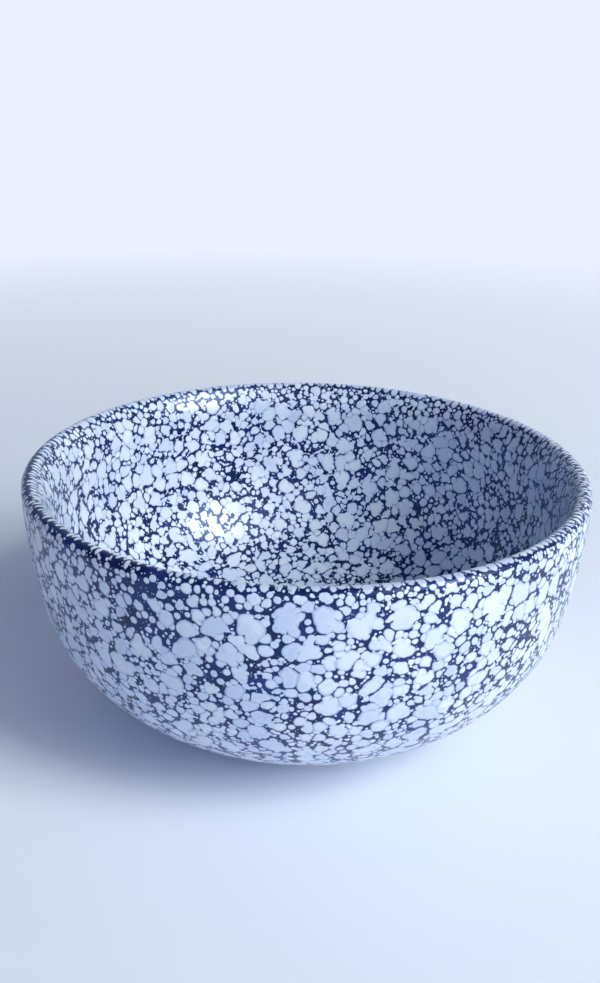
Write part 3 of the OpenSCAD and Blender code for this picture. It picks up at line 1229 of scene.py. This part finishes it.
def spatter(name, facing, first, last, scale):
    """Throws, lands, fills in and builds the drops of one face.

    The marks of the teeth go along as drops that are too small to be built, so that outlines keep off them.
    """
    landed = keep_landed(*fall(facing, first, last, scale))
    places, radius, head = fill_gaps(facing, first, last, *landed)
    spread = np.concatenate((drawn(radius), teeth_radius))
    radius = np.concatenate((radius, np.full(len(teeth_radius), UNBUILT)))
    head = np.concatenate((head, len(head) + np.arange(len(teeth_radius))))
    places = np.concatenate((places, teeth_places))
    across, along = tangents(places, facing)
    add_drops(name, SIZES, FACE_THICK, places, radius, spread, head, across, along,
              lambda flat, lift: settle(flat, facing, lift))


spatter("outside", OUTSIDE, OUTSIDE_FIRST, outside_last, OUTSIDE_SCALE)
spatter("inside", INSIDE, INSIDE_FIRST, inside_last, INSIDE_SCALE)

# %% [markdown]
# The stage is a pale sweep: a floor that curves up into a backdrop, made as a line carried sideways. Two
# planes would be simpler, but the corner between them would show as a line behind the bowl.

# %% Floor
SWEEP_REACH = 1.6
SWEEP_SIDE = 2.4
SWEEP_BACK = 0.9
SWEEP_BEND = 0.5
BEND_STEPS = 24


def make_sweep():
    """Floor and backdrop: a straight line, a quarter circle and a straight line carried sideways."""
    bend = np.linspace(-np.pi / 2, 0, BEND_STEPS)
    path_y = np.concatenate(([-SWEEP_REACH], SWEEP_BACK + SWEEP_BEND * np.cos(bend),
                             [SWEEP_BACK + SWEEP_BEND]))
    path_z = np.concatenate(([0.0], SWEEP_BEND + SWEEP_BEND * np.sin(bend), [SWEEP_REACH]))
    sides = np.array((-SWEEP_SIDE, SWEEP_SIDE))
    points = np.stack(np.broadcast_arrays(sides[None, :], path_y[:, None], path_z[:, None]), -1)
    row = 2 * np.arange(len(path_y) - 1)
    faces = np.stack((row, row + 1, row + 3, row + 2), -1)
    mesh = bpy.data.meshes.new("sweep")
    mesh.from_pydata(points.reshape(-1, 3), [], faces.tolist())
    mesh.polygons.foreach_set("use_smooth", np.ones(len(faces), bool))
    mesh.update()
    sweep = bpy.data.objects.new("sweep", mesh)
    bpy.context.scene.collection.objects.link(sweep)
    return sweep


sweep = make_sweep()
print("sweep:", len(sweep.data.polygons), "faces")

# %% [markdown]
# Its paint is pale and matt. Far from the bowl it fades into a plain pale backdrop, which only the camera
# sees and which gives no light, so that no horizon shows from any side. The sweep doesn't show from below,
# and a round port in it, hidden under the foot, lets a small lamp light the foot's well for a look at the
# underside.

# %% Paint of the sweep
SWEEP_COLOR = (0.82, 0.87, 1.0)
SWEEP_ROUGHNESS = 0.6
PORT_R = 27.8 * MM
FADE_START = 0.25
FADE_END = 0.80


def add_math(tree, operation, first, second):
    """Result of an operation on two values, of which the second may be a plain number."""
    node = tree.nodes.new("ShaderNodeMath")
    node.operation = operation
    tree.links.new(first, node.inputs[0])
    if isinstance(second, float):
        node.inputs[1].default_value = second
    else:
        tree.links.new(second, node.inputs[1])
    return node.outputs["Value"]


def mix_shaders(tree, factor, first, second):
    """Shader that goes from the first to the second as the factor goes from 0 to 1."""
    node = tree.nodes.new("ShaderNodeMixShader")
    tree.links.new(factor, node.inputs["Fac"])
    tree.links.new(first, node.inputs[1])
    tree.links.new(second, node.inputs[2])
    return node.outputs["Shader"]


def make_sweep_paint():
    """Pale matt paint that is clear from behind and in a round port under the foot's well.

    For the camera alone it fades, with the distance from the bowl, into the plain colour of the backdrop.
    """
    material, tree, shader, coordinates = new_material("pale sweep")
    shader.inputs["Base Color"].default_value = (*SWEEP_COLOR, 1.0)
    shader.inputs["Roughness"].default_value = SWEEP_ROUGHNESS
    backdrop = tree.nodes.new("ShaderNodeEmission")
    backdrop.inputs["Color"].default_value = (*SWEEP_COLOR, 1.0)
    clear = tree.nodes.new("ShaderNodeBsdfTransparent")
    light_path = tree.nodes.new("ShaderNodeLightPath")
    geometry = tree.nodes.new("ShaderNodeNewGeometry")
    from_bowl = tree.nodes.new("ShaderNodeVectorMath")
    from_bowl.operation = "LENGTH"
    tree.links.new(coordinates.outputs["Object"], from_bowl.inputs[0])
    distance = from_bowl.outputs["Value"]
    far = add_ramp(tree, distance, [(FADE_START, (0, 0, 0)), (FADE_END, (1, 1, 1))])
    fade = add_math(tree, "MULTIPLY", far, light_path.outputs["Is Camera Ray"])
    faded = mix_shaders(tree, fade, shader.outputs["BSDF"], backdrop.outputs["Emission"])
    port = add_math(tree, "LESS_THAN", distance, PORT_R)
    see_through = add_math(tree, "MAXIMUM", geometry.outputs["Backfacing"], port)
    surface = mix_shaders(tree, see_through, faded, clear.outputs["BSDF"])
    tree.links.new(surface, tree.nodes["Material Output"].inputs["Surface"])
    return material


sweep.data.materials.append(make_sweep_paint())
print("painted with", sweep.data.materials[0].name)

# %% [markdown]
# Light comes as from a tall window at the front right, brightest in its middle, with a weaker, bluer room
# light from the front and a soft fill from all round. The lamps are large and stand well away from the bowl,
# because that gives even light and soft shadows. A small one below lights the underside.

# %% Light
WINDOW_COLOR = (0.98, 1.0, 0.92)
LAMPS = [
    {"name": "window", "azimuth": -38, "elevation": 40, "distance": 2.4, "width": 1.6, "tall": 2.3,
     "power": 14.0, "color": WINDOW_COLOR},
    {"name": "pane", "azimuth": -31, "elevation": 36, "distance": 2.4, "width": 0.9, "tall": 1.3,
     "power": 50.0, "color": WINDOW_COLOR},
    {"name": "room", "azimuth": -84, "elevation": 28, "distance": 1.5, "width": 1.2, "tall": 0.9,
     "power": 5.4, "color": (0.78, 0.86, 1.0)},
    {"name": "under", "azimuth": -60, "elevation": -70, "distance": 0.8, "width": 0.5, "tall": 0.5,
     "power": 3.0, "color": (0.95, 0.98, 1.0)},
]
FILL_COLOR = (0.41, 0.55, 1.0)
FILL_STRENGTH = 0.11


def add_lamp(name, azimuth, elevation, distance, width, tall, power, color):
    """Area lamp at a direction and distance from the bowl, turned to face it."""
    data = bpy.data.lights.new(name, "AREA")
    data.shape = "RECTANGLE"
    data.size = width
    data.size_y = tall
    data.energy = power
    data.color = color
    lamp = bpy.data.objects.new(name, data)
    level = np.cos(np.radians(elevation))
    toward = Vector((level * np.cos(np.radians(azimuth)), level * np.sin(np.radians(azimuth)),
                     np.sin(np.radians(elevation))))
    lamp.location = Vector((0, 0, HEIGHT / 2)) + distance * toward
    lamp.rotation_euler = toward.to_track_quat("Z", "Y").to_euler()
    bpy.context.scene.collection.objects.link(lamp)


def make_world():
    """Soft blue fill from all round, and a plain pale backdrop for the camera alone."""
    world = bpy.data.worlds.new("soft fill")
    world.use_nodes = True
    tree = world.node_tree
    fill = tree.nodes["Background"]
    fill.inputs["Color"].default_value = (*FILL_COLOR, 1.0)
    fill.inputs["Strength"].default_value = FILL_STRENGTH
    backdrop = tree.nodes.new("ShaderNodeBackground")
    backdrop.inputs["Color"].default_value = (*SWEEP_COLOR, 1.0)
    light_path = tree.nodes.new("ShaderNodeLightPath")
    surface = mix_shaders(tree, light_path.outputs["Is Camera Ray"], fill.outputs["Background"],
                          backdrop.outputs["Background"])
    tree.links.new(surface, tree.nodes["World Output"].inputs["Surface"])
    return world


for lamp in LAMPS:
    add_lamp(**lamp)
bpy.context.scene.world = make_world()
bpy.context.scene.view_settings.view_transform = "Standard"
print(len(LAMPS), "lamps")

# %% [markdown]
# The camera stands where the photograph was taken: above the rim, close to the bowl, and rolled by about one
# degree. Its distance, tilt and lens come from fitting the bowl's outline to the photograph.

# %% Camera
IMAGE_TALL = 983
FOCAL_PIXELS = 1000
SENSOR_WIDTH = 36.0
CLIP_START = 0.01
CAMERA_PLACE = Vector((-1.728, -256.47, 169.45)) * MM
CAMERA_AIM = Vector((-1.728, 0.0, 62.524)) * MM
CAMERA_ROLL = np.radians(1.012)

camera_data = bpy.data.cameras.new("camera")
camera_data.sensor_width = SENSOR_WIDTH
camera_data.lens = FOCAL_PIXELS * SENSOR_WIDTH / IMAGE_TALL
camera_data.clip_start = CLIP_START
camera = bpy.data.objects.new("camera", camera_data)
aim = (CAMERA_AIM - CAMERA_PLACE).to_track_quat("-Z", "Y").to_matrix().to_4x4()
camera.matrix_world = Matrix.Translation(CAMERA_PLACE) @ aim @ Matrix.Rotation(CAMERA_ROLL, 4, "Z")
bpy.context.scene.collection.objects.link(camera)
bpy.context.scene.camera = camera
print(f"lens {camera_data.lens:.2f} mm")
